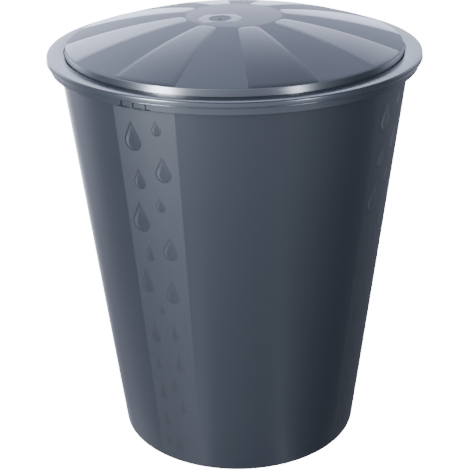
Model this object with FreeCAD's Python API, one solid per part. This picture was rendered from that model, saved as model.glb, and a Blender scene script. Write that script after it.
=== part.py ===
import FreeCAD, Part
import math
import os

# A tapered plastic rain barrel with a petalled lift-off lid, standing on the ground.
# Millimetres, +Z up. The origin is the centre of the base on the ground and the front faces -Y.
# A bearing is an angle in degrees about the axis, from the front towards the right (+X).

# Barrel: a cone that widens upwards, with its rim flange folded outwards and down.
base_radius = 273.0
top_radius = 374.1
wall_height = 890.0
wall = 3.0
flange_thickness = 3.0
flange_reach = 18.4
skirt_depth = 21.5
skirt_wall = 3.0
web_count = 36
web_thickness = 2.5
web_bearing = 6.3
web_rise = 1.0

# Base: a plate let into the foot of the wall, stiffened from below.
plate_height = 14.0
plate_thickness = 3.0
rib_count = 12
rib_thickness = 3.0
rib_ground_gap = 3.0
hub_radius = 30.0

# Drop panels: one band of the wall on each side, with raised rain drops.
band_bearing = -28.85
sides = ["front", "right", "back", "left"]
band_sweep = 21.6
panels_between = 2
drop_relief = 0.8
drop_unit = 10.0
drop_foot_steps = 4
# Each drop: offset from the middle of its band in degrees, then tip height, length and width in drop units.
drops = [
    (-4.6, 83.5, 6.5, 4.0), (4.4, 84.4, 3.4, 2.1), (5.4, 76.7, 5.6, 3.5), (-3.8, 73.3, 4.5, 2.8),
    (3.2, 67.6, 3.3, 2.1), (-5.4, 65.7, 6.8, 4.2), (-3.4, 56.0, 3.7, 2.0), (5.1, 58.8, 5.4, 3.3),
    (-6.3, 50.3, 6.0, 3.0), (4.4, 48.8, 5.9, 3.1), (-1.0, 42.0, 2.5, 1.3), (-5.6, 36.8, 4.9, 2.4),
    (3.6, 37.9, 4.3, 1.7), (4.5, 31.0, 5.4, 2.0), (-6.2, 27.7, 2.7, 1.5), (0.9, 23.5, 3.5, 1.6),
    (-5.6, 21.0, 4.2, 1.9), (3.9, 18.1, 3.9, 1.6), (-5.6, 13.7, 4.1, 1.7), (-0.6, 7.1, 4.2, 2.0),
    (-6.2, 6.6, 3.0, 1.4),
]

# Tabs in the skirt below the lip: each is cut free by a slot up its left side and one along its foot.
tab_bearing = -33.4
tab_pitch = 4.0
tab_foot_sweeps = [3.0, 3.25, 1.7]
tab_slot = 3.0
tab_height = 11.0
tab_sill = 1.6
spare_slot_sweep = 0.7

# Lid: a centre disc, a petalled dome, an edge band, a groove, a flat brim and a lip round the rim.
lid_wall = 2.5
brim_thickness = 3.0
lip_depth = 12.0
lip_corner = 3.0
lid_clearance = 5.0
dome_edge_height = 12.0
dome_rise = 55.5
dome_bulge = 8.0
dome_steps = 3
disc_radius = 94.0
disc_crown = 3.5
gate_radius = 9.0
gate_rise = 0.8
disc_flat_radius = 70.0
band_corner = 3.0
band_foot = 12.0
groove_width = 2.1
groove_wall = 2.0
groove_depth = 4.0

# Petals: raised panels of the dome, flat across, with a round inner end.
petal_count = 8
petal_bearing = 15.25
petal_sweep = 22.5
petal_bulge = 1.5
petal_gap = 17.0
petal_margin = 6.0
round_steps = 6
rim_steps = 3

rim_height = wall_height + flange_thickness
brim_top = rim_height + brim_thickness
skirt_radius = top_radius + flange_reach
lid_radius = skirt_radius + lid_clearance + lid_wall
groove_outside = top_radius - wall - lid_clearance
dome_radius = groove_outside - groove_wall - groove_width
petal_start = disc_radius + petal_gap
skirt_bottom = wall_height - skirt_depth
dome_edge = brim_top + dome_edge_height
disc_edge = dome_edge + dome_rise
wall_taper = (top_radius - base_radius) / wall_height
dome_slope = dome_rise / (dome_radius - disc_radius)

ORIGIN = FreeCAD.Vector(0, 0, 0)
UP = FreeCAD.Vector(0, 0, 1)
FULL = 360.0
PROFILE_BEARING = 90.0


def wall_outside(z):
    """Radius of the barrel's outer face at a height."""
    return base_radius + wall_taper * z


def dome_arch(radius):
    """Rise of a line arched between the disc and the dome's edge, from 0 at its ends to 1 half-way."""
    share = (radius - disc_radius) / (dome_radius - disc_radius)
    return 4 * share * (1 - share)


def dome_top(radius):
    """Height of the arched valleys between the petals at a radius."""
    return disc_edge - dome_slope * (radius - disc_radius) + dome_bulge * dome_arch(radius)


def petal_top(radius):
    """Height of the petals along their middle at a radius."""
    return dome_top(radius) + petal_bulge * dome_arch(radius)


def crowned(height, inner, outer, steps):
    """Points of a crowned line between two radii, by equal steps."""
    radii = [inner + (outer - inner) * step / steps for step in range(steps + 1)]
    return [(radius, height(radius)) for radius in radii]


def lowered(points, drop):
    """The same line further down, in the other direction."""
    return [(radius, z - drop) for radius, z in reversed(points)]


def outline(start, *steps):
    """Face in the radius-height plane: each step is a corner, or a (middle, end) pair for an arc."""
    edges = []
    here = start
    for step in steps + (start,):
        if isinstance(step[0], tuple):
            middle, end = step
            corners = [FreeCAD.Vector(r, 0, z) for r, z in (here, middle, end)]
            edges.append(Part.Arc(*corners).toShape())
        else:
            end = step
            edges.append(Part.makeLine(FreeCAD.Vector(here[0], 0, here[1]), FreeCAD.Vector(end[0], 0, end[1])))
        here = end
    return Part.Face(Part.Wire(edges))


def turned(face, start=0.0, sweep=FULL):
    """Solid swept by a radius-height face about the axis, from one bearing over a sweep."""
    return at_bearing(face, start).revolve(ORIGIN, UP, sweep)


def spun(shape, angle):
    """Copy of a shape turned about the axis."""
    placed = shape.copy()
    placed.rotate(ORIGIN, UP, angle)
    return placed


def at_bearing(shape, bearing):
    """Copy of a shape made along +X, turned to a bearing."""
    return spun(shape, bearing - PROFILE_BEARING)


def plate(face, thickness):
    """A flat rib of a thickness, centred on its radius-height face."""
    rib = face.extrude(FreeCAD.Vector(0, thickness, 0))
    rib.translate(FreeCAD.Vector(0, -thickness / 2, 0))
    return rib


def wall_face():
    """Section of the barrel's wall."""
    return outline(
        (wall_outside(0) - wall, 0),
        (wall_outside(0), 0),
        (wall_outside(wall_height), wall_height),
        (wall_outside(wall_height) - wall, wall_height),
    )


def drop_outline(tip, length, width):
    """Face of one rain drop, upright in the plane across +X: a round foot and two tangent sides."""
    radius = width / 2
    centre = tip - length + radius
    touch = math.acos(radius / (tip - centre))
    turn = 2 * (math.pi - touch) / drop_foot_steps
    points = [FreeCAD.Vector(0, 0, tip)]
    for step in range(drop_foot_steps + 1):
        angle = touch + step * turn
        points.append(FreeCAD.Vector(0, radius * math.sin(angle), centre + radius * math.cos(angle)))
    return Part.Face(Part.makePolygon(points + points[:1]))


def drop_field():
    """The rain drops of one band, raised from the wall's outer face, about bearing zero."""
    skin = turned(outline(
        (wall_outside(0), 0),
        (wall_outside(0) + drop_relief, 0),
        (wall_outside(wall_height) + drop_relief, wall_height),
        (wall_outside(wall_height), wall_height),
    ), -band_sweep / 2, band_sweep)
    pads = []
    for offset, *measures in drops:
        face = drop_outline(*(drop_unit * measure for measure in measures))
        pads.append(at_bearing(face.extrude(FreeCAD.Vector(lid_radius, 0, 0)), offset).common(skin))
    return Part.makeCompound([solid for pad in pads for solid in pad.Solids])


def base_plate():
    """Plate let into the foot of the wall, its edge on the wall's inner face."""
    top = plate_height + plate_thickness
    return turned(outline(
        (0, plate_height),
        (wall_outside(plate_height) - wall, plate_height),
        (wall_outside(top) - wall, top),
        (0, top),
    ))


def base_ribs():
    """Radial ribs below the plate, from near its middle to the wall."""
    foot = rib_ground_gap
    rib = plate(outline(
        (hub_radius, foot),
        (wall_outside(foot) - wall, foot),
        (wall_outside(plate_height) - wall, plate_height),
        (hub_radius, plate_height),
    ), rib_thickness)
    return Part.makeCompound([at_bearing(rib, index * FULL / rib_count) for index in range(rib_count)])


def rim_flange():
    """Flat ring folded out from the top of the wall, on which the lid rests."""
    return turned(outline(
        (wall_outside(wall_height) - wall, wall_height),
        (skirt_radius, wall_height),
        (skirt_radius, rim_height),
        (wall_outside(wall_height) - wall, rim_height),
    ))


def skirt_opening(low, height):
    """Section of a slot right through the skirt."""
    inside = skirt_radius - 2 * skirt_wall
    outside = skirt_radius + skirt_wall
    return outline((inside, low), (outside, low), (outside, low + height), (inside, low + height))


def rim_skirt():
    """Ring that hangs from the flange's edge, with its cut-out tabs."""
    ring = turned(outline(
        (skirt_radius - skirt_wall, skirt_bottom),
        (skirt_radius, skirt_bottom),
        (skirt_radius, wall_height),
        (skirt_radius - skirt_wall, wall_height),
    ))
    slot_sweep = math.degrees(tab_slot / skirt_radius)
    sill = skirt_bottom + tab_sill
    upright = skirt_opening(sill, tab_height)
    foot = skirt_opening(sill, tab_slot)
    cuts = [turned(foot, tab_bearing - tab_pitch + tab_foot_sweeps[0], spare_slot_sweep)]
    for index, sweep in enumerate(tab_foot_sweeps):
        left = tab_bearing + index * tab_pitch - slot_sweep / 2
        cuts.append(turned(upright, left, slot_sweep).fuse(turned(foot, left, sweep)))
    return ring.cut(cuts)


def rim_webs():
    """Upright webs that tie the skirt to the wall under the flange."""
    foot = skirt_bottom + web_rise
    web = plate(outline(
        (wall_outside(foot), foot),
        (skirt_radius - skirt_wall, foot),
        (skirt_radius - skirt_wall, wall_height),
        (wall_outside(wall_height), wall_height),
    ), web_thickness)
    step = FULL / web_count
    return Part.makeCompound([at_bearing(web, web_bearing + index * step) for index in range(web_count)])


def lid_centre_disc():
    """Raised disc at the top of the dome, with a sloping edge and the flat mark of its moulding gate."""
    crown = disc_edge + disc_crown
    return turned(outline(
        (0, crown - lid_wall),
        (disc_flat_radius, crown - lid_wall),
        (disc_radius, disc_edge - lid_wall),
        (disc_radius, disc_edge),
        (disc_flat_radius, crown),
        (gate_radius, crown),
        (gate_radius, crown + gate_rise),
        (0, crown + gate_rise),
    ))


def arc_points(centre, radius, half_angle, steps):
    """Points by equal steps along an arc about a point on +X, from its left end to its right end."""
    angles = [half_angle * (1 - 2 * step / steps) for step in range(steps + 1)]
    return [FreeCAD.Vector(centre + radius * math.cos(angle), radius * math.sin(angle), 0) for angle in angles]


def petal_plan(inset):
    """Upright prism on the petal's plan: round inner end, radial sides and an edge along the lid's rim."""
    half = math.radians(petal_sweep / 2)
    centre = petal_start / (1 - math.sin(half))
    slip = inset / math.sin(half)
    far = (dome_radius - petal_margin - inset) * math.cos(half)
    wide = (far - slip) * math.tan(half)
    outer = arc_points(0, math.hypot(far, wide), math.atan2(wide, far), rim_steps)
    inner = arc_points(centre, inset - centre * math.sin(half), math.pi / 2 - half, round_steps)
    corners = outer + inner
    plan = Part.Face(Part.makePolygon(corners + corners[:1]))
    return plan.extrude(FreeCAD.Vector(0, 0, disc_edge + dome_rise))


def petal_bulk(low, high):
    """Block under a petal's crowned face, straight across: its foot and its top lie below their lines."""
    foot = crowned(dome_top, disc_radius, dome_radius, dome_steps)
    top = crowned(petal_top, disc_radius, dome_radius, dome_steps)
    return plate(outline(*lowered(foot, low), *reversed(lowered(top, high))), dome_radius)


def lid_petal():
    """One petal along +X: a crowned panel with upright edges, open below."""
    body = petal_bulk(lid_wall, 0).common(petal_plan(0))
    hollow = petal_bulk(2 * lid_wall, lid_wall).common(petal_plan(lid_wall))
    return body.cut(hollow)


def petal_bearings():
    """Bearings of the petals' middles."""
    return [petal_bearing + index * FULL / petal_count for index in range(petal_count)]


def lid_petals():
    """All petals of the dome."""
    petal = lid_petal()
    return Part.makeCompound([at_bearing(petal, bearing).Solids[0] for bearing in petal_bearings()])


def lid_dome():
    """Arched shell of the valleys, cut out where the petals stand."""
    top = crowned(dome_top, disc_radius, dome_radius - band_corner, dome_steps)
    shell = turned(outline(*top, *lowered(top, lid_wall)))
    cut = petal_plan(0)
    return shell.cut([at_bearing(cut, bearing) for bearing in petal_bearings()])


def lid_edge_band():
    """Upright band round the dome, running down inside the barrel to keep the lid centred."""
    inside = dome_radius - band_corner
    corner_top = dome_top(inside)
    bend = band_corner * (1 - math.sqrt(0.5))
    foot = rim_height - band_foot
    return turned(outline(
        (inside, foot),
        (dome_radius, foot),
        (dome_radius, corner_top - band_corner),
        (dome_radius - bend, corner_top - bend),
        (inside, corner_top),
    ))


def lid_brim():
    """Flat brim on the flange, with the narrow groove between it and the dome's band."""
    groove_out = dome_radius + groove_width
    floor = brim_top - groove_depth
    return turned(outline(
        (dome_radius, floor - groove_wall),
        (groove_outside, floor - groove_wall),
        (groove_outside, rim_height),
        (lid_radius - lip_corner, rim_height),
        (lid_radius - lip_corner, brim_top),
        (groove_out, brim_top),
        (groove_out, floor),
        (dome_radius, floor),
    ))


def lid_lip():
    """Lip that hangs over the rim's edge, with its upper corner taken off."""
    inside = lid_radius - lid_wall
    corner = lid_radius - lip_corner
    bend = lip_corner * (1 - math.sqrt(0.5))
    foot = brim_top - lip_depth
    return turned(outline(
        (inside, foot),
        (lid_radius, foot),
        (lid_radius, brim_top - lip_corner),
        (lid_radius - bend, brim_top - bend),
        (corner, brim_top),
        (corner, rim_height),
        (inside, rim_height),
    ))


def wall_panels():
    """Drop panels, their drops and the plain panels between them, by node name."""
    section = wall_face()
    field = drop_field()
    sweep = (FULL / len(sides) - band_sweep) / panels_between
    pieces = {}
    for index, side in enumerate(sides):
        middle = band_bearing + index * FULL / len(sides)
        after = sides[(index + 1) % len(sides)]
        pieces["drop_panel_" + side] = turned(section, middle - band_sweep / 2, band_sweep)
        pieces["drops_" + side] = spun(field, middle)
        for number in range(panels_between):
            start = middle + band_sweep / 2 + number * sweep
            pieces["wall_" + side + "_" + after + "_" + str(number + 1)] = turned(section, start, sweep)
    return pieces


def main():
    """Build every node and write it to its own file."""
    nodes = {
        "base_plate": base_plate(),
        "base_ribs": base_ribs(),
        "rim_flange": rim_flange(),
        "rim_skirt": rim_skirt(),
        "rim_webs": rim_webs(),
        "lid_centre_disc": lid_centre_disc(),
        "lid_dome": lid_dome(),
        "lid_petals": lid_petals(),
        "lid_edge_band": lid_edge_band(),
        "lid_brim": lid_brim(),
        "lid_lip": lid_lip(),
    }
    nodes.update(wall_panels())
    os.makedirs("parts", exist_ok=True)
    for name, shape in nodes.items():
        shape.exportStep("parts/" + name + ".step")
        print(name, len(shape.Solids), "solids", round(shape.Volume / 1000, 1), "cm3", shape.isValid())


main()
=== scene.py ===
# %% [markdown]
# # A rain barrel in moulded plastic
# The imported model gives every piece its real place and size. This lesson dresses it: smooth turned
# shells where a faceted one would show, domed rain drops, and plastics whose grain and gloss vary.
# Lengths are in metres and angles in degrees, +Z is up and the front faces -Y.

# %% Load the frame
import math
import bmesh
import bpy
from mathutils import Matrix, Vector


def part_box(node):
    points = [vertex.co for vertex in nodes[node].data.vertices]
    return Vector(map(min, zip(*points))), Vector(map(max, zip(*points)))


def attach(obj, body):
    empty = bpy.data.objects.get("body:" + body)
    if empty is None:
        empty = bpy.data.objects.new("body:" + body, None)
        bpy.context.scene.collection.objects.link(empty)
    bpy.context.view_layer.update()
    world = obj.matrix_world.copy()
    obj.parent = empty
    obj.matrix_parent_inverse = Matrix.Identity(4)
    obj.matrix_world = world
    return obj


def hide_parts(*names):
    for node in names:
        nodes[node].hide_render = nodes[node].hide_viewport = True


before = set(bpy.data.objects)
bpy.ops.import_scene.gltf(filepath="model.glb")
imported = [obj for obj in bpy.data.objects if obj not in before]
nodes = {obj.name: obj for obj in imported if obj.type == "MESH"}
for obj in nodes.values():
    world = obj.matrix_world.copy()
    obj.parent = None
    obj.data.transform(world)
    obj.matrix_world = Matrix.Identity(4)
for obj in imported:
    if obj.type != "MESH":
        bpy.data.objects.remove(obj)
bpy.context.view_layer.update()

SIDES = ["front", "right", "back", "left"]


# %% [markdown]
# ## Measures
# The wall is a plain cone that widens upwards, so two radii and a height say all of it. The height
# is read from the frame. The radii are written out, because the box round a tapering panel doesn't
# give them. Nearly all of the barrel is turned or repeated about its axis, so a place on it is a
# bearing from the front, a radius and a height, and not an X and a Y.

# %% The wall's cone and its drop bands
WALL = 0.003
BASE_RADIUS = 0.273
TOP_RADIUS = 0.3741
BAND_BEARING = -28.85
BAND_SWEEP = 21.6
BAND_REPEAT = 90.0
wall_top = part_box("drop_panel_front")[1].z


def wall_radius(z):
    """Radius of the wall's outer face at a height."""
    return BASE_RADIUS + (TOP_RADIUS - BASE_RADIUS) * z / wall_top


def place(bearing, radius, z):
    """Point at a bearing from the front, in degrees towards the right."""
    angle = math.radians(bearing)
    return Vector((radius * math.sin(angle), -radius * math.cos(angle), z))


def bearing_of(point):
    """Bearing of a point from the front."""
    return math.degrees(math.atan2(point.x, -point.y))


def from_nearest(angle, repeat):
    """Angle from the nearest multiple of a repeat, at most half a repeat either way."""
    return (angle + repeat / 2) % repeat - repeat / 2


print("wall from radius", wall_radius(0), "to", wall_radius(wall_top), "height", round(wall_top, 4))


# %% [markdown]
# ## Shader helpers
# A finish is easier to read as arithmetic than as a page of nodes. Each node could be made and
# linked by hand, line by line. Instead a Wire wraps one output, so that adding or multiplying two
# wires adds a Math node, and a Recipe makes any other node from its settings and its inputs.

# %% Wire and Recipe
class Wire:
    """One value in a shader, with the arithmetic that this lesson uses."""

    def __init__(self, recipe, socket):
        self.recipe = recipe
        self.socket = socket

    def __add__(self, other):
        return self.recipe.math("ADD", self, other)

    def __sub__(self, other):
        return self.recipe.math("SUBTRACT", self, other)

    def __rsub__(self, other):
        return self.recipe.math("SUBTRACT", other, self)

    def __mul__(self, other):
        return self.recipe.math("MULTIPLY", self, other)

    def __truediv__(self, other):
        return self.recipe.math("DIVIDE", self, other)

    __radd__ = __add__
    __rmul__ = __mul__

    def clamp(self):
        """The value, kept between 0 and 1."""
        return self.recipe.math("ADD", self, 0.0, clamp=True)


class Recipe:
    """A node tree under construction."""

    def __init__(self, tree):
        self.tree = tree
        tree.nodes.clear()

    def node(self, kind, settings=None, inputs=None, output=0):
        """A node of any kind: its settings come first, then the values or wires of its inputs."""
        made = self.tree.nodes.new(kind)
        for name, value in (settings or {}).items():
            if name == "stops":
                ramp = made.color_ramp.elements
                while len(ramp) < len(value):
                    ramp.new(0.5)
                for element, (at, colour) in zip(ramp, value):
                    element.position = at
                    element.color = (*colour, 1.0)
            else:
                setattr(made, name, value)
        for name, value in (inputs or {}).items():
            if isinstance(value, Wire):
                self.tree.links.new(value.socket, made.inputs[name])
            else:
                made.inputs[name].default_value = value
        return Wire(self, made.outputs[output]) if len(made.outputs) else None

    def math(self, operation, *values, clamp=False):
        """Arithmetic on plain values."""
        settings = {"operation": operation, "use_clamp": clamp}
        return self.node("ShaderNodeMath", settings, dict(enumerate(values)))

    def length(self, across, along):
        """Length of a flat vector from its two parts."""
        return self.math("SQRT", across * across + along * along)

    def split(self, vector):
        """The three parts of a vector."""
        parts = self.node("ShaderNodeSeparateXYZ", {}, {"Vector": vector})
        return [Wire(self, socket) for socket in parts.socket.node.outputs]

    def ramp(self, factor, stops):
        """A colour looked up between stops."""
        return self.node("ShaderNodeValToRGB", {"stops": stops}, {"Fac": factor})

    def mix(self, factor, first, second, kind="MIX"):
        """Two colours, mixed, added or multiplied."""
        settings = {"data_type": "RGBA", "blend_type": kind}
        inputs = {"Factor": factor, 6: first, 7: second}
        return self.node("ShaderNodeMix", settings, inputs, output=2)

    def blend(self, factor, first, second):
        """Two plain values, mixed."""
        settings = {"data_type": "FLOAT"}
        return self.node("ShaderNodeMix", settings, {"Factor": factor, 2: first, 3: second})

    def noise(self, where, scale, detail):
        """A soft random pattern from 0 to 1."""
        inputs = {"Vector": where, "Scale": scale, "Detail": detail}
        return self.node("ShaderNodeTexNoise", {}, inputs)


def rgb(red, green, blue):
    """A colour with the alpha that sockets expect."""
    return (red, green, blue, 1.0)


def new_material(name, look):
    """Material whose recipe is written by a function that returns the shader's inputs."""
    material = bpy.data.materials.new(name)
    material.use_nodes = True
    recipe = Recipe(material.node_tree)
    where = recipe.node("ShaderNodeTexCoord", {}, {}, output="Object")
    surface = recipe.node("ShaderNodeBsdfPrincipled", {}, look(recipe, where))
    recipe.node("ShaderNodeOutputMaterial", {}, {"Surface": surface})
    print("material", name, len(material.node_tree.nodes), "nodes")
    return material


print("helpers", Wire.__name__, "and", Recipe.__name__)


# %% [markdown]
# ## The plastics
# Barrel and lid are moulded in one blue-grey plastic, so every finish starts from the same pigment.
# What differs is the mould's surface: satin on the wall, finely eroded on the drop bands, matte in
# the lid's valleys and on its disc, polished on its petals and its rim. One material with painted
# areas would do, but a finish of its own for each surface keeps the recipes short. An eroded or
# matte surface scatters more light and so looks paler, which its tint takes up. The pigment is
# slightly clouded and the gloss drifts. The wall and its bands are painted darker towards their
# foot, as painted shade where less light falls.

# %% Moulded plastics
PIGMENT = (0.0315, 0.037, 0.0455)
CLOUD_CONTRAST = 0.05
CLOUD_DETAIL = 4.0
GRAIN_SCALE = 900.0
GRAIN_DEPTH = 0.0004
GLOSS_SCALE = 9.0
GLOSS_DRIFT = 0.03
FINE_DETAIL = 2.0
PLASTIC_IOR = 1.5


def tinted(tint):
    """The pigment, paler above 1 and darker below."""
    return rgb(*[channel * tint for channel in PIGMENT])


def moulded(roughness, grain, clouds, tint=1.0, foot_shade=None):
    """Moulded plastic: clouded pigment, grain, drifting gloss and, if asked, painted shade at the
    foot.
    """
    def look(recipe, where):
        cloud = recipe.noise(where, clouds, CLOUD_DETAIL)
        fine = recipe.noise(where, GRAIN_SCALE, FINE_DETAIL)
        waves = recipe.noise(where, GLOSS_SCALE, FINE_DETAIL)
        darker, paler = tinted(tint * (1 - CLOUD_CONTRAST)), tinted(tint * (1 + CLOUD_CONTRAST))
        colour = recipe.mix(cloud, darker, paler)
        # Painted shade: the colour darkens towards the wall's foot, where less light falls.
        if foot_shade:
            height = recipe.split(where)[2] / wall_top
            colour = recipe.mix(height.clamp(), tinted(foot_shade), colour)
        bump = {"Strength": grain, "Distance": GRAIN_DEPTH, "Height": fine}
        return {
            "Base Color": colour,
            "Roughness": roughness + (waves - 0.5) * GLOSS_DRIFT,
            "Normal": recipe.node("ShaderNodeBump", {}, bump),
            "IOR": PLASTIC_IOR,
        }
    return look


wall_plastic = new_material("wall_plastic", moulded(0.31, grain=0.06, clouds=6.0, foot_shade=0.9))
band_plastic = new_material("band_plastic", moulded(0.45, grain=0.30, clouds=8.0, foot_shade=0.85))
petal_plastic = new_material("petal_plastic", moulded(0.23, grain=0.05, clouds=5.0, tint=1.25))
disc_plastic = new_material("disc_plastic", moulded(0.42, grain=0.20, clouds=5.0, tint=1.9))
valley_plastic = new_material("valley_plastic", moulded(0.55, grain=0.25, clouds=5.0, tint=2.25))
rim_plastic = new_material("rim_plastic", moulded(0.23, grain=0.05, clouds=7.0, tint=1.2))
inside_plastic = new_material("inside_plastic", moulded(0.45, grain=0.12, clouds=6.0))


# %% [markdown]
# ## Turned shells
# Wall, rim and lid are turned forms, because their moulds were cut on a lathe. A Screw modifier
# could sweep their sections, but a bmesh spin leaves real faces, which the next steps sort by
# finish, cut and raise. A section is a closed list of radii and heights, and two small helpers
# write its rounds and its evenly spaced points.

# %% Sections and spins
TURN_STEPS = 200
MERGE_DISTANCE = 1e-6


def spread(start, end, steps):
    """Values from one to another by equal steps."""
    return [start + (end - start) * step / steps for step in range(steps + 1)]


def rounded(centre, radius, start, end, steps):
    """Points of an arc in the radius-height plane, by angles from outwards."""
    angles = [math.radians(angle) for angle in spread(start, end, steps)]
    return [(centre[0] + radius * math.cos(a), centre[1] + radius * math.sin(a)) for a in angles]


def turned(section, start=0.0, steps=TURN_STEPS):
    """Bmesh swept from a closed section, all the way round from a bearing."""
    work = bmesh.new()
    ring = [work.verts.new(place(start, radius, z)) for radius, z in section]
    edges = [work.edges.new((ring[i - 1], ring[i])) for i in range(len(ring))]
    bmesh.ops.spin(
        work, geom=ring + edges, cent=(0, 0, 0), axis=(0, 0, 1), angle=math.tau, steps=steps,
        use_merge=True)
    bmesh.ops.remove_doubles(work, verts=work.verts, dist=MERGE_DISTANCE)
    bmesh.ops.recalc_face_normals(work, faces=work.faces)
    return work


def finish_mesh(name, work, materials, body, smooth_below=30.0):
    """Object from a bmesh, smooth across edges below an angle, riding on a body."""
    mesh = bpy.data.meshes.new(name)
    work.to_mesh(mesh)
    work.free()
    for material in materials:
        mesh.materials.append(material)
    mesh.shade_smooth()
    mesh.set_sharp_from_angle(angle=math.radians(smooth_below))
    piece = bpy.data.objects.new(name, mesh)
    bpy.context.scene.collection.objects.link(piece)
    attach(piece, body)
    print(name, len(mesh.polygons), "faces")
    return piece


print("one step of a turn is", 360.0 / TURN_STEPS, "degrees")


# %% [markdown]
# ## The barrel's wall
# The real wall is one moulding: a thin cone with a small round at its foot, and four upright bands
# of finer texture. The bands could be panels of their own, but then a seam would show. Here the
# wall is one spin that starts on a band's left edge. A band and the quarter circle from one band
# to the next are whole numbers of steps, so every band's border is an edge of faces and crisp.

# %% The wall's shell
FOOT_ROUND = 0.0022
FOOT_STEPS = 3
WALL_RINGS = 8
PLAIN, BAND, INSIDE = range(3)


def wall_section():
    """Outer face from the rounded foot to the top, then down the inner face."""
    foot = rounded((wall_radius(0) - FOOT_ROUND, FOOT_ROUND), FOOT_ROUND, -90.0, 0.0, FOOT_STEPS)
    rings = [(wall_radius(z), z) for z in spread(0.0, wall_top, WALL_RINGS)[1:]]
    inside = [(radius - WALL, z) for radius, z in reversed(rings)]
    return foot + rings + inside + [(wall_radius(0) - WALL, 0.0)]


def wall_finish(middle):
    """Which finish a face of the wall has, from its middle."""
    if math.hypot(middle.x, middle.y) < wall_radius(middle.z) - WALL / 2:
        return INSIDE
    away = from_nearest(bearing_of(middle) - BAND_BEARING, BAND_REPEAT)
    return BAND if abs(away) < BAND_SWEEP / 2 else PLAIN


wall_work = turned(wall_section(), BAND_BEARING - BAND_SWEEP / 2)
for face in wall_work.faces:
    face.material_index = wall_finish(face.calc_center_median())
wall_finishes = [wall_plastic, band_plastic, inside_plastic]
barrel_wall = finish_mesh("barrel_wall", wall_work, wall_finishes, "barrel")
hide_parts(*[n for n in nodes if n.startswith("wall_") or n.startswith("drop_panel_")])


# %% [markdown]
# ## Rain drops
# Each drop on a band is a shallow lens, round below and drawn to a tip above. A filled curve could
# be extruded, but its top would be flat. Here a sphere is cut in half and its flat side closed, so
# that its faces surely point outwards. Each point of the half then goes to the same share of the
# way out to the drop's edge and is wrapped on the wall, which keeps the faces pointing out. That
# share is kept as the drop's own UV map, so its material knows the middle from the edge.

# %% Half a sphere
BALL_SEGMENTS = 28
BALL_RINGS = 12
CUT_DISTANCE = 1e-4

dome_work = bmesh.new()
bmesh.ops.create_uvsphere(dome_work, u_segments=BALL_SEGMENTS, v_segments=BALL_RINGS, radius=1.0)
bmesh.ops.bisect_plane(
    dome_work, geom=dome_work.verts[:] + dome_work.edges[:] + dome_work.faces[:],
    dist=CUT_DISTANCE, plane_co=(0, 0, 0), plane_no=(0, 0, 1), clear_inner=True)
bmesh.ops.holes_fill(dome_work, edges=[edge for edge in dome_work.edges if edge.is_boundary])
bmesh.ops.recalc_face_normals(dome_work, faces=dome_work.faces)
unit_dome = bpy.data.meshes.new("unit_dome")
dome_work.to_mesh(unit_dome)
dome_work.free()
print("half a sphere has", len(unit_dome.polygons), "faces")

# %% Shape of a drop
DROP_UNIT = 0.010
DROP_HEIGHT = 0.0002
DROP_FULLNESS = 4

# Each drop: degrees from the middle of its band, then tip height, length and width in drop units.
DROPS = [
    (-4.6, 83.5, 6.5, 4.0), (4.4, 84.4, 3.4, 2.1), (5.4, 76.7, 5.6, 3.5), (-3.8, 73.3, 4.5, 2.8),
    (3.2, 67.6, 3.3, 2.1), (-5.4, 65.7, 6.8, 4.2), (-3.4, 56.0, 3.7, 2.0), (5.1, 58.8, 5.4, 3.3),
    (-6.3, 50.3, 6.0, 3.0), (4.4, 48.8, 5.9, 3.1), (-1.0, 42.0, 2.5, 1.3), (-5.6, 36.8, 4.9, 2.4),
    (3.6, 37.9, 4.3, 1.7), (4.5, 31.0, 5.4, 2.0), (-6.2, 27.7, 2.7, 1.5), (0.9, 23.5, 3.5, 1.6),
    (-5.6, 21.0, 4.2, 1.9), (3.9, 18.1, 3.9, 1.6), (-5.6, 13.7, 4.1, 1.7), (-0.6, 7.1, 4.2, 2.0),
    (-6.2, 6.6, 3.0, 1.4),
]


def drop_reach(angle, radius, tip):
    """Distance from the middle of a drop's round to its edge, at an angle from straight up."""
    lean = math.acos(radius / tip)
    return radius / math.cos(lean - abs(angle)) if abs(angle) < lean else radius


def add_drop(work, layer, bearing, tip_z, length, width):
    """One domed drop, wrapped on the wall."""
    radius = width / 2
    centre = tip_z - length + radius
    before = len(work.verts)
    work.from_mesh(unit_dome)
    work.verts.ensure_lookup_table()
    for vert in work.verts[before:]:
        share = min(1.0, math.hypot(vert.co.x, vert.co.y))
        angle = math.atan2(vert.co.x, vert.co.y)
        reach = share * drop_reach(angle, radius, tip_z - centre)
        across, z = reach * math.sin(angle), centre + reach * math.cos(angle)
        lift = DROP_HEIGHT * (1 - share ** DROP_FULLNESS)
        turn = math.degrees(across / wall_radius(z))
        vert.co = place(bearing + turn, wall_radius(z) + lift, z)
        for loop in vert.link_loops:
            loop[layer].uv = (0.5 + share * math.sin(angle) / 2, 0.5 + share * math.cos(angle) / 2)


print("drops on a band", len(DROPS), "longest", max(drop[2] for drop in DROPS) * DROP_UNIT)


# %% [markdown]
# ## Finish of the drops
# A real drop is polished, and its left side catches the light: a dark edge with a pale crescent
# inside it. A lens this low bends a reflection too little to show that from every side, so the
# crescent and the edge are painted by distance in the drop's UV map. The crescent is what lies
# outside a second round, set a little to the right, and both fade towards the foot of the barrel,
# where less light falls.

# %% Drop plastic
ROUND_RIGHT, ROUND_DOWN, ROUND_RADIUS = 0.22, 0.10, 0.66
CRESCENT_OUTSIDE, EDGE_INSIDE = 0.86, 0.84
CRESCENT_RISE, CRESCENT_FALL, EDGE_RISE = 7.0, 12.0, 9.0
LEFT_LIMIT = 0.30
FADE_HEIGHT, FADE_RATE = 0.38, 2.4
CRESCENT_COLOUR = rgb(0.115, 0.124, 0.142)
EDGE_TINT, EDGE_ALL_ROUND = 0.35, 0.3
LOW_SHADE_TINT = 0.8
LOW_ROUGHNESS, HIGH_ROUGHNESS = 0.42, 0.32


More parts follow.
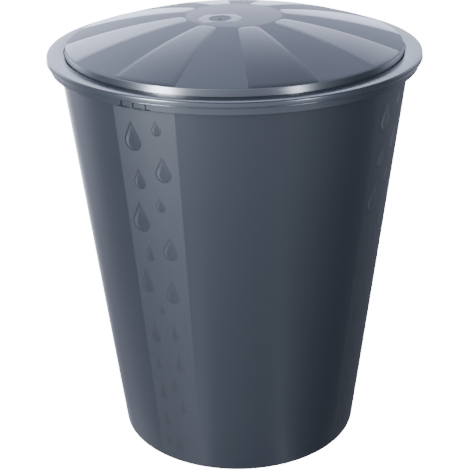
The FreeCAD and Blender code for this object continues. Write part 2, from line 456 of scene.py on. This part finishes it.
def drop_look(recipe, where):
    """Polished plastic with a dark left edge and a pale crescent inside it."""
    u, v, _ = recipe.split(recipe.node("ShaderNodeUVMap", {"uv_map": "drop"}, {}))
    across, along = (u - 0.5) * 2.0, (v - 0.5) * 2.0
    out = recipe.length(across, along)
    from_round = recipe.length(across - ROUND_RIGHT, along + ROUND_DOWN)
    leftward = (LEFT_LIMIT - across).clamp()
    outside_round = ((from_round - ROUND_RADIUS) * CRESCENT_RISE).clamp()
    crescent = outside_round * ((CRESCENT_OUTSIDE - out) * CRESCENT_FALL).clamp() * leftward
    edge = ((out - EDGE_INSIDE) * EDGE_RISE).clamp() * (leftward + EDGE_ALL_ROUND)
    # Painted shade: the drop's colour, crescent and edge all fade darker towards the foot, where
    # less light falls.
    light_fade = ((recipe.split(where)[2] - FADE_HEIGHT) * FADE_RATE).clamp()
    colour = recipe.mix(light_fade, tinted(LOW_SHADE_TINT), tinted(1.0))
    colour = recipe.mix(crescent * light_fade, colour, CRESCENT_COLOUR)
    colour = recipe.mix(edge * light_fade, colour, tinted(EDGE_TINT))
    return {
        "Base Color": colour,
        "Roughness": recipe.blend(light_fade, LOW_ROUGHNESS, HIGH_ROUGHNESS),
        "IOR": PLASTIC_IOR,
    }


drop_plastic = new_material("drop_plastic", drop_look)

# %% The four fields of drops
for index, side in enumerate(SIDES):
    drops_work = bmesh.new()
    drop_layer = drops_work.loops.layers.uv.new("drop")
    for offset, *measures in DROPS:
        tip_z, length, width = (DROP_UNIT * measure for measure in measures)
        bearing = BAND_BEARING + BAND_REPEAT * index + offset
        add_drop(drops_work, drop_layer, bearing, tip_z, length, width)
    rain = finish_mesh(
        "rain_drops_" + side, drops_work, [drop_plastic], "barrel", smooth_below=60.0)
    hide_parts("drops_" + side)


# %% [markdown]
# ## The rim
# The top of the real wall is folded outwards to a flange and down to a skirt, and both have broken
# edges. One spin makes the whole ring. A plain section would do for it, but the next step opens
# slots in the skirt, so the section also has points level with the top and foot of every slot.
# They keep the shading of the broken edge out of the skirt's flat face, too.

# %% The rim's ring
SKIRT_WALL = 0.003
EDGE_ROUND = 0.0008
EDGE_STEPS = 3
TAB_SILL = 0.0016
TAB_FOOT_SLOT = 0.0022
TAB_HEIGHT = 0.011
flange_low, flange_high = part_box("rim_flange")
skirt_low, skirt_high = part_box("rim_skirt")
skirt_inside = skirt_high.x - SKIRT_WALL
flange_inside = wall_radius(wall_top) - WALL
flange_under, flange_top = flange_low.z, flange_high.z
sill = skirt_low.z + TAB_SILL


def rim_section():
    """Up the outside of the skirt, over the flange, and back inside the skirt to its foot."""
    outside, foot = skirt_high.x, skirt_low.z
    levels = [foot + EDGE_ROUND, sill, sill + TAB_FOOT_SLOT, sill + TAB_HEIGHT, flange_under]
    up = [(outside - EDGE_ROUND, foot)] + [(outside, z) for z in levels]
    corner = (outside - EDGE_ROUND, flange_top - EDGE_ROUND)
    over = rounded(corner, EDGE_ROUND, 0.0, 90.0, EDGE_STEPS)
    over += [(flange_inside, flange_top), (flange_inside, flange_under)]
    down = [(skirt_inside, z) for z in reversed(levels)] + [(skirt_inside + EDGE_ROUND, foot)]
    return up + over + down


rim_work = turned(rim_section())
print("rim ring", len(rim_work.faces), "faces")


# %% [markdown]
# ## Tabs in the skirt
# At the front left, narrow slots up the left side and along the foot leave a row of small tabs.
# A Boolean could cut them, but it leaves long thin triangles round a wall of 3 mm. Here planes
# through the axis split the skirt's faces along the upright edges of the slots, and the ring's own
# levels are their tops and feet. The faces in a slot are then deleted, outside and inside, and the
# two open loops are bridged through the wall.

# %% Where the slots are
TAB_BEARING = -33.4
TAB_PITCH = 4.0
TAB_FOOT_SWEEPS = [3.0, 3.25, 1.7]
TAB_SLOT = 0.003
SPARE_SLOT_SWEEP = 0.7


def skirt_slots():
    """The slots from left to right, each a list of boxes: left and right bearing, low and high."""
    slot_sweep = math.degrees(TAB_SLOT / skirt_high.x)
    spare = TAB_BEARING - TAB_PITCH + TAB_FOOT_SWEEPS[0]
    slots = [[(spare, spare + SPARE_SLOT_SWEEP, sill, sill + TAB_FOOT_SLOT)]]
    for index, sweep in enumerate(TAB_FOOT_SWEEPS):
        left = TAB_BEARING + index * TAB_PITCH - slot_sweep / 2
        slots.append([
            (left, left + slot_sweep, sill, sill + TAB_HEIGHT),
            (left, left + sweep, sill, sill + TAB_FOOT_SLOT)])
    return slots


slots = skirt_slots()
boxes = [box for slot in slots for box in slot]
print("slots", len(slots), "from", round(boxes[0][0], 2), "to", round(boxes[-1][1], 2), "degrees")

# %% Cut and bridge the slots
UPRIGHT = 0.1
PLANE_DISTANCE = 1e-7
SIDE_ROOM = 360.0 / TURN_STEPS


def skirt_faces(box):
    """Upright faces of the skirt whose middles lie in a box."""
    left, right, low, high = box
    found = []
    for face in rim_work.faces:
        middle = face.calc_center_median()
        inside = left < bearing_of(middle) < right and low < middle.z < high
        if inside and abs(face.normal.z) < UPRIGHT:
            found.append(face)
    return found


def without_repeats(parts):
    """The parts, each once, in the order in which they first come."""
    return list(dict.fromkeys(parts))


def split_skirt(bearing):
    """Split the skirt's faces round a bearing along the upright plane through it and the axis."""
    faces = skirt_faces((bearing - SIDE_ROOM, bearing + SIDE_ROOM, skirt_low.z, flange_under))
    parts = [part for face in faces for part in (*face.verts, *face.edges, face)]
    bmesh.ops.bisect_plane(
        rim_work, geom=without_repeats(parts), dist=PLANE_DISTANCE, plane_co=(0, 0, 0),
        plane_no=place(bearing + 90.0, 1.0, 0.0))


for bearing in sorted({side for box in boxes for side in box[:2]}):
    split_skirt(bearing)
for slot in slots:
    opening = without_repeats(face for box in slot for face in skirt_faces(box))
    bmesh.ops.delete(rim_work, geom=opening, context="FACES")
    border = [edge for edge in rim_work.edges if edge.is_boundary]
    bmesh.ops.bridge_loops(rim_work, edges=border)
    print("slot with", len(border), "border edges")
bmesh.ops.recalc_face_normals(rim_work, faces=rim_work.faces)
barrel_rim = finish_mesh("barrel_rim", rim_work, [rim_plastic], "barrel", smooth_below=50.0)
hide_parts("rim_flange", "rim_skirt")


# %% [markdown]
# ## The lid
# The real lid is one thin moulding: a crowned disc, an arched dome, an upright band that drops
# inside the barrel, a narrow groove, a flat brim and a lip over the rim. Separate pieces would
# show seams, so one section runs from the middle of the disc out to the foot of the lip and back
# underneath, and one fine spin makes the shell.

# %% Sizes of the lid
LID_WALL = 0.0025
BRIM_THICKNESS = 0.003
LIP_CORNER = 0.003
BEAD, BEAD_NECK = 0.0011, 2.2
BAND_CORNER, BAND_ROUND, BAND_DRAFT = 0.0035, 0.0015, 15.0
GROOVE_WIDTH, GROOVE_WALL, GROOVE_DEPTH = 0.0021, 0.002, 0.004
DOME_FOOT, DOME_RISE, DOME_BULGE = 0.012, 0.0555, 0.008
DISC_CROWN = 0.0035
lip_low, lip_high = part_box("lid_lip")
band_low, band_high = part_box("lid_edge_band")
disc_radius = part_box("lid_centre_disc")[1].x
dome_radius, band_foot = band_high.x, band_low.z
lid_radius, lip_foot, brim_top = lip_high.x, lip_low.z, lip_high.z
band_inside = dome_radius - BAND_CORNER
disc_edge = brim_top + DOME_FOOT + DOME_RISE
dome_slope = DOME_RISE / (dome_radius - disc_radius)


def dome_top(radius):
    """Height of the arched valleys at a radius."""
    share = (radius - disc_radius) / (dome_radius - disc_radius)
    arch = 4 * DOME_BULGE * share * (1 - share)
    return disc_edge - dome_slope * (radius - disc_radius) + arch


def disc_top(radius):
    """Height of the crowned disc at a radius."""
    return disc_edge + DISC_CROWN - DISC_CROWN * (radius / disc_radius) ** 2


print("radii of lid, dome, disc", [round(r, 4) for r in (lid_radius, dome_radius, disc_radius)])

# %% Section of the lid
DISC_RINGS, DISC_RINGS_UNDER = 48, 8
DOME_RINGS, DOME_RINGS_UNDER = 96, 48
SHOULDER_STEPS, GROOVE_STEPS, LIP_STEPS, BEAD_STEPS = 5, 3, 6, 7


def lid_top():
    """Upper face of the lid, from its middle to the foot of the lip."""
    dome_out = band_inside - BAND_ROUND
    top = [(r, disc_top(r)) for r in spread(0.0, disc_radius, DISC_RINGS)]
    top += [(r, dome_top(r)) for r in spread(disc_radius, dome_out, DOME_RINGS)[1:]]
    lean = 90.0 - math.degrees(math.atan(dome_slope))
    shoulder_in = band_inside - BAND_ROUND * math.cos(math.radians(BAND_DRAFT))
    shoulder = (shoulder_in, dome_top(band_inside) - BAND_ROUND)
    top += rounded(shoulder, BAND_ROUND, lean, BAND_DRAFT, SHOULDER_STEPS)
    groove_out, groove_floor = dome_radius + GROOVE_WIDTH, brim_top - GROOVE_DEPTH
    top += [(dome_radius, groove_floor), (groove_out, groove_floor)]
    groove_edge = (groove_out + EDGE_ROUND, brim_top - EDGE_ROUND)
    top += rounded(groove_edge, EDGE_ROUND, 180.0, 90.0, GROOVE_STEPS)
    lip_corner = (lid_radius - LIP_CORNER - BEAD, brim_top - LIP_CORNER)
    top += rounded(lip_corner, LIP_CORNER, 90.0, 0.0, LIP_STEPS)
    top += [(lid_radius - BEAD, lip_foot + BEAD_NECK * BEAD)]
    top += rounded((lid_radius - BEAD, lip_foot + BEAD), BEAD, 60.0, -90.0, BEAD_STEPS)
    return top


def lid_under():
    """Lower face of the lid, from the foot of the lip back to its middle."""
    lip_inside, brim_under = lid_radius - LID_WALL, brim_top - BRIM_THICKNESS
    brim_inside = dome_radius + GROOVE_WIDTH + GROOVE_WALL
    groove_under = brim_top - GROOVE_DEPTH - GROOVE_WALL
    under = [(lip_inside, lip_foot), (lip_inside, brim_under), (brim_inside, brim_under)]
    under += [(brim_inside, groove_under), (dome_radius, groove_under)]
    under += [(dome_radius, band_foot), (band_inside, band_foot)]
    dome_under = spread(band_inside, disc_radius, DOME_RINGS_UNDER)
    under += [(r, dome_top(r) - LID_WALL) for r in dome_under]
    disc_under = spread(disc_radius, 0.0, DISC_RINGS_UNDER)[1:]
    return under + [(r, disc_top(r) - LID_WALL) for r in disc_under]


print("section of the lid", len(lid_top()) + len(lid_under()), "points")


# %% [markdown]
# ## Petals and the mark on the disc
# Eight broad petals stand a little above the dome's valleys, with soft edges and rounded inner
# ends, and the disc carries a low six-sided mark with a round hollow and a small stub in it.
# A texture could fake these steps, but they have to catch the light at their edges. Each is given
# as a distance inside its edge, and a point rises with that distance until the step is reached.

# %% Petals
PETALS = 8
PETAL_BEARING = 15.25
PETAL_HALF_SWEEP = 11.25
PETAL_STEP, PETAL_SLOPE = 0.0006, 0.10
PETAL_GAP, PETAL_MARGIN = 0.012, 0.006
PETAL_CORNER = 0.012


def step(height, slope, inside):
    """Rise of a step at a distance inside its edge, with a sloping side."""
    return min(height, max(0.0, slope * inside))


def inside_petal(radius, bearing):
    """Distance inside the edge of the nearest petal; negative outside."""
    away = math.radians(from_nearest(bearing - PETAL_BEARING, 360.0 / PETALS))
    half = math.radians(PETAL_HALF_SWEEP)
    along, across = radius * math.cos(away), radius * abs(math.sin(away))
    side = along * math.sin(half) - across * math.cos(half)
    tip = radius - disc_radius - PETAL_GAP
    if max(side, tip) < PETAL_CORNER:
        tip = PETAL_CORNER - math.hypot(PETAL_CORNER - side, PETAL_CORNER - tip)
    return min(tip, side, dome_radius - PETAL_MARGIN - radius)


print("petals", PETALS, "from radius", round(disc_radius + PETAL_GAP, 4))

# %% Mark on the disc
MARK_AT = Vector((-0.029, -0.042))
MARK_HALF_WIDTH, MARK_HALF_DEPTH, MARK_CORNER = 0.048, 0.032, 0.53
MARK_RISE, MARK_SLOPE = 0.0005, 0.1
HOLLOW_RADIUS, HOLLOW_DEPTH, HOLLOW_SLOPE = 0.024, 0.0008, 0.16
GATE_RADIUS, GATE_RISE, GATE_SLOPE = 0.006, 0.0012, 0.4


def inside_mark(point):
    """Distance inside the edge of the six-sided mark beside the middle of the disc."""
    across, along = abs(point.x - MARK_AT.x), abs(point.y - MARK_AT.y)
    return min(MARK_HALF_DEPTH - along, MARK_HALF_WIDTH - across - MARK_CORNER * along)


def mark_rise(point):
    """Height of the mark above the disc, less its hollow, with the stub in the hollow."""
    away = (point - MARK_AT).length
    hollow = step(HOLLOW_DEPTH, HOLLOW_SLOPE, HOLLOW_RADIUS - away)
    stub = step(GATE_RISE, GATE_SLOPE, GATE_RADIUS - away)
    return step(MARK_RISE, MARK_SLOPE, inside_mark(point)) - hollow + stub


print("stub stands at", round(mark_rise(MARK_AT), 4), "above the disc")

# %% The lid's shell
LID_STEPS = 320
DISC_FINISH = disc_radius + 0.008
POLISHED, MATTE, SATIN = range(3)


def lid_finish(middle):
    """Which finish a face of the lid has, from its middle."""
    radius = math.hypot(middle.x, middle.y)
    if radius < DISC_FINISH and middle.z > dome_top(DISC_FINISH):
        if inside_mark(middle.xy) <= 0.0:
            return SATIN
        return MATTE if (middle.xy - MARK_AT).length < HOLLOW_RADIUS else POLISHED
    on_top = disc_radius < radius < band_inside and middle.z > dome_top(radius) - LID_WALL / 2
    return MATTE if on_top and inside_petal(radius, bearing_of(middle)) < 0.0 else POLISHED


lid_work = turned(lid_top() + lid_under(), PETAL_BEARING - PETAL_HALF_SWEEP, LID_STEPS)
for face in lid_work.faces:
    face.material_index = lid_finish(face.calc_center_median())
for vert in lid_work.verts:
    radius = math.hypot(vert.co.x, vert.co.y)
    if disc_radius < radius < band_inside and vert.co.z > flange_top:
        vert.co.z += step(PETAL_STEP, PETAL_SLOPE, inside_petal(radius, bearing_of(vert.co)))
    if radius < disc_radius and vert.co.z > disc_edge:
        vert.co.z += mark_rise(vert.co.xy)
lid_finishes = [petal_plastic, valley_plastic, disc_plastic]
barrel_lid = finish_mesh("barrel_lid", lid_work, lid_finishes, "lid", smooth_below=45.0)
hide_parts(*[n for n in nodes if n.startswith("lid_")])


# %% [markdown]
# ## The moulded nodes that stay
# The base plate, its ribs and the webs under the rim are plain plates, which a new mesh would only
# repeat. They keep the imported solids' meshes and get the plastic of the inside.

# %% Plastic of the carried-over nodes
for name in ("base_plate", "base_ribs", "rim_webs"):
    finishes = nodes[name].data.materials
    finishes.clear()
    finishes.append(inside_plastic)
    print("dressed", name)


# %% [markdown]
# ## The floor
# The barrel stands on white studio paper that is lit until it can't be told from the background.
# A bright lamp over plain paper would do that too, but it would spill on the barrel. So the paper
# glows by itself, as a light table does, and only the camera sees it.

# %% Floor
FLOOR_RADIUS = 14.0
FLOOR_SIDES = 96
FLOOR_DROP = 0.0005
FLOOR_GLOW = 16.0

floor_work = bmesh.new()
bmesh.ops.create_circle(floor_work, cap_ends=True, segments=FLOOR_SIDES, radius=FLOOR_RADIUS)
floor_mesh = bpy.data.meshes.new("floor")
floor_work.to_mesh(floor_mesh)
floor_work.free()
floor = bpy.data.objects.new("floor", floor_mesh)
bpy.context.scene.collection.objects.link(floor)
floor.location.z = -FLOOR_DROP
floor.visible_glossy = False
floor.visible_diffuse = False


def floor_look(recipe, where):
    """White paper, lit from below as a light table is."""
    return {
        "Base Color": rgb(0.93, 0.93, 0.93),
        "Roughness": 0.9,
        "Emission Color": rgb(1.0, 1.0, 1.0),
        "Emission Strength": FLOOR_GLOW,
    }


floor_mesh.materials.append(new_material("floor_paper", floor_look))


# %% [markdown]
# ## The studio round the barrel
# Satin plastic shows little but what it mirrors, so the picture is mostly made by the room: a pale
# backdrop whose brightness the lid mirrors, a room behind the camera that the wall mirrors, and a
# dark foot below them. Real walls and cards could be built, but a sky painted by direction is
# quick to tune and free of edges. Each part of it is a ramp of greys by height, from left to
# right, or from front to back, and the parts are multiplied and added like gels.

# %% Directions
world = bpy.data.worlds.new("studio")
bpy.context.scene.world = world
world.use_nodes = True
sky = Recipe(world.node_tree)
LEAST_LENGTH = 0.001

east, north, up = sky.split(sky.node("ShaderNodeTexCoord", {}, {}, output="Generated"))
level = sky.math("MAXIMUM", sky.length(east, north), LEAST_LENGTH)
height = up * 0.5 + 0.5
rightward = east / level * 0.5 + 0.5
backward = north / level * 0.5 + 0.5


def greys(factor, *stops):
    """Ramp of greys by (place, brightness)."""
    return sky.ramp(factor, [(at, (value, value, value)) for at, value in stops])


def by_height(*stops):
    """Ramp of greys by (degrees above the horizon, brightness)."""
    return greys(height, *[(0.5 + 0.5 * math.sin(math.radians(at)), value) for at, value in stops])


def times(first, *others):
    """Product of colours."""
    for other in others:
        first = sky.mix(1.0, first, other, kind="MULTIPLY")
    return first


def plus(first, *others):
    """Sum of colours."""
    for other in others:
        first = sky.mix(1.0, first, other, kind="ADD")
    return first


print("directions from", len(world.node_tree.nodes), "nodes")

# %% Backdrop
BLUE_BACKDROP = rgb(0.98, 0.995, 1.10)
backdrop = by_height(
    (-90, 0.3), (-30, 0.2), (-14, 0.4), (-7, 2.0), (-2, 4.2), (5, 4.2), (12, 2.7), (20, 3.7),
    (26, 2.7), (34, 1.7), (42, 1.35), (52, 1.1), (90, 0.7))
backdrop_side = greys(
    rightward, (0.0, 1.4), (0.40, 1.35), (0.48, 1.05), (0.56, 1.0), (0.64, 0.72), (1.0, 0.72))
back_light = times(backdrop, backdrop_side, BLUE_BACKDROP)
print("with the backdrop", len(world.node_tree.nodes), "nodes")

# %% Room, with two slanted streaks of light on its floor
room = by_height(
    (-90, 0.25), (-48, 0.35), (-33, 0.56), (-29, 0.9), (-20, 2.1), (-4, 2.5), (14, 2.8), (36, 0.6),
    (90, 0.35))
room_side = greys(
    rightward, (0.0, 0.3), (0.03, 0.45), (0.085, 1.0), (0.165, 1.8), (0.24, 1.35), (0.5, 1.0),
    (0.78, 0.65), (0.86, 0.55), (0.94, 0.32), (1.0, 0.06))
right_streak = greys(rightward * 0.5 + height * 0.83, (0.517, 0.0), (0.534, 2.4), (0.551, 0.0))
left_streak = greys(
    rightward * 0.5 - height * 0.695 + 0.5, (0.474, 0.0), (0.491, 4.0), (0.508, 0.0))
streak_heights = by_height((-65, 1.0), (-44, 1.0), (-37, 0.0))
room_light = plus(times(room, room_side), times(plus(left_streak, right_streak), streak_heights))
print("with the room", len(world.node_tree.nodes), "nodes")

# %% Glows at the left, low on the wall and along its edge
low_glow = times(
    greys(backward, (0.38, 0.0), (0.55, 0.55), (0.8, 0.35), (0.95, 0.0)),
    greys(rightward, (0.3, 1.0), (0.46, 0.0)),
    by_height((-60, 0.9), (-38, 1.0), (-33, 0.4), (-28, 0.0)))
edge_glow = times(
    greys(rightward, (0.22, 0.0), (0.30, 3.0), (0.35, 9.0), (0.46, 9.0), (0.49, 0.0)),
    greys(backward, (0.91, 0.0), (0.96, 1.0)),
    by_height((-32, 0.15), (-25, 0.5), (-20, 1.0), (-14, 1.0), (-9, 0.0)))
print("with the glows", len(world.node_tree.nodes), "nodes")

# %% The whole sky
COOL_LIGHT = rgb(0.91, 0.965, 1.13)
behind = greys(backward, (0.62, 0.0), (0.95, 1.0))
sky_light = plus(sky.mix(behind, room_light, back_light), plus(low_glow, edge_glow))
background = {"Color": times(sky_light, COOL_LIGHT), "Strength": 1.0}
sky.node("ShaderNodeOutputWorld", {}, {"Surface": sky.node("ShaderNodeBackground", {}, background)})
print("the whole sky", len(world.node_tree.nodes), "nodes")


# %% [markdown]
# ## Soft boxes
# Two tall soft boxes draw the bright streaks on the wall and on the lid's edge band. They could be
# painted in the sky too, but a lamp has crisp, straight sides. They light only what mirrors them:
# the sky gives the soft light, and a second one would wash the shading out.

# %% Soft boxes
COOL_LAMP = (0.86, 0.93, 1.08)
LAMP_AIM = Vector((0.0, 0.0, 0.9))


def soft_box(name, bearing, distance, height, size, power):
    """Tall soft box at a bearing, turned to the barrel."""
    lamp = bpy.data.lights.new(name, "AREA")
    lamp.shape = "RECTANGLE"
    lamp.size, lamp.size_y = size
    lamp.energy = power
    lamp.color = COOL_LAMP
    light = bpy.data.objects.new(name, lamp)
    light.location = place(bearing, distance, height)
    light.rotation_euler = (LAMP_AIM - light.location).to_track_quat("-Z", "Y").to_euler()
    light.visible_camera = False
    light.visible_diffuse = False
    bpy.context.scene.collection.objects.link(light)
    print("soft box", name, "at", bearing, "degrees")


soft_box("left_key", bearing=-45.0, distance=2.6, height=1.55, size=(0.6, 1.8), power=480.0)
soft_box("right_fill", bearing=38.0, distance=2.8, height=1.4, size=(0.36, 1.6), power=100.0)


# %% [markdown]
# ## The camera
# The photograph looks down on the barrel from close by, so its sides converge. The lens and the
# place were found by fitting the outline and the rings of the lid, and are written out here. The
# camera is turned as on a tripod: round, then down, then by a slight roll. An empty to track would
# be easier to set, but it can't hold the roll.

# %% Camera
FOCAL_PIXELS = 1187.23
PICTURE_PIXELS = 470
SENSOR_WIDTH = 36.0
CAMERA_DISTANCE = 2.48505
CAMERA_HEIGHT = 1.5596
CAMERA_PITCH, CAMERA_YAW, CAMERA_ROLL = 24.0, 0.111, -0.876

lens = bpy.data.cameras.new("camera")
lens.sensor_width = SENSOR_WIDTH
lens.lens = FOCAL_PIXELS * SENSOR_WIDTH / PICTURE_PIXELS
camera = bpy.data.objects.new("camera", lens)
camera.matrix_world = (
    Matrix.Translation((0, -CAMERA_DISTANCE, CAMERA_HEIGHT))
    @ Matrix.Rotation(math.radians(CAMERA_YAW), 4, "Z")
    @ Matrix.Rotation(math.radians(90.0 - CAMERA_PITCH), 4, "X")
    @ Matrix.Rotation(math.radians(CAMERA_ROLL), 4, "Z"))
bpy.context.scene.collection.objects.link(camera)
bpy.context.scene.camera = camera
print("lens", round(lens.lens, 2), "mm")
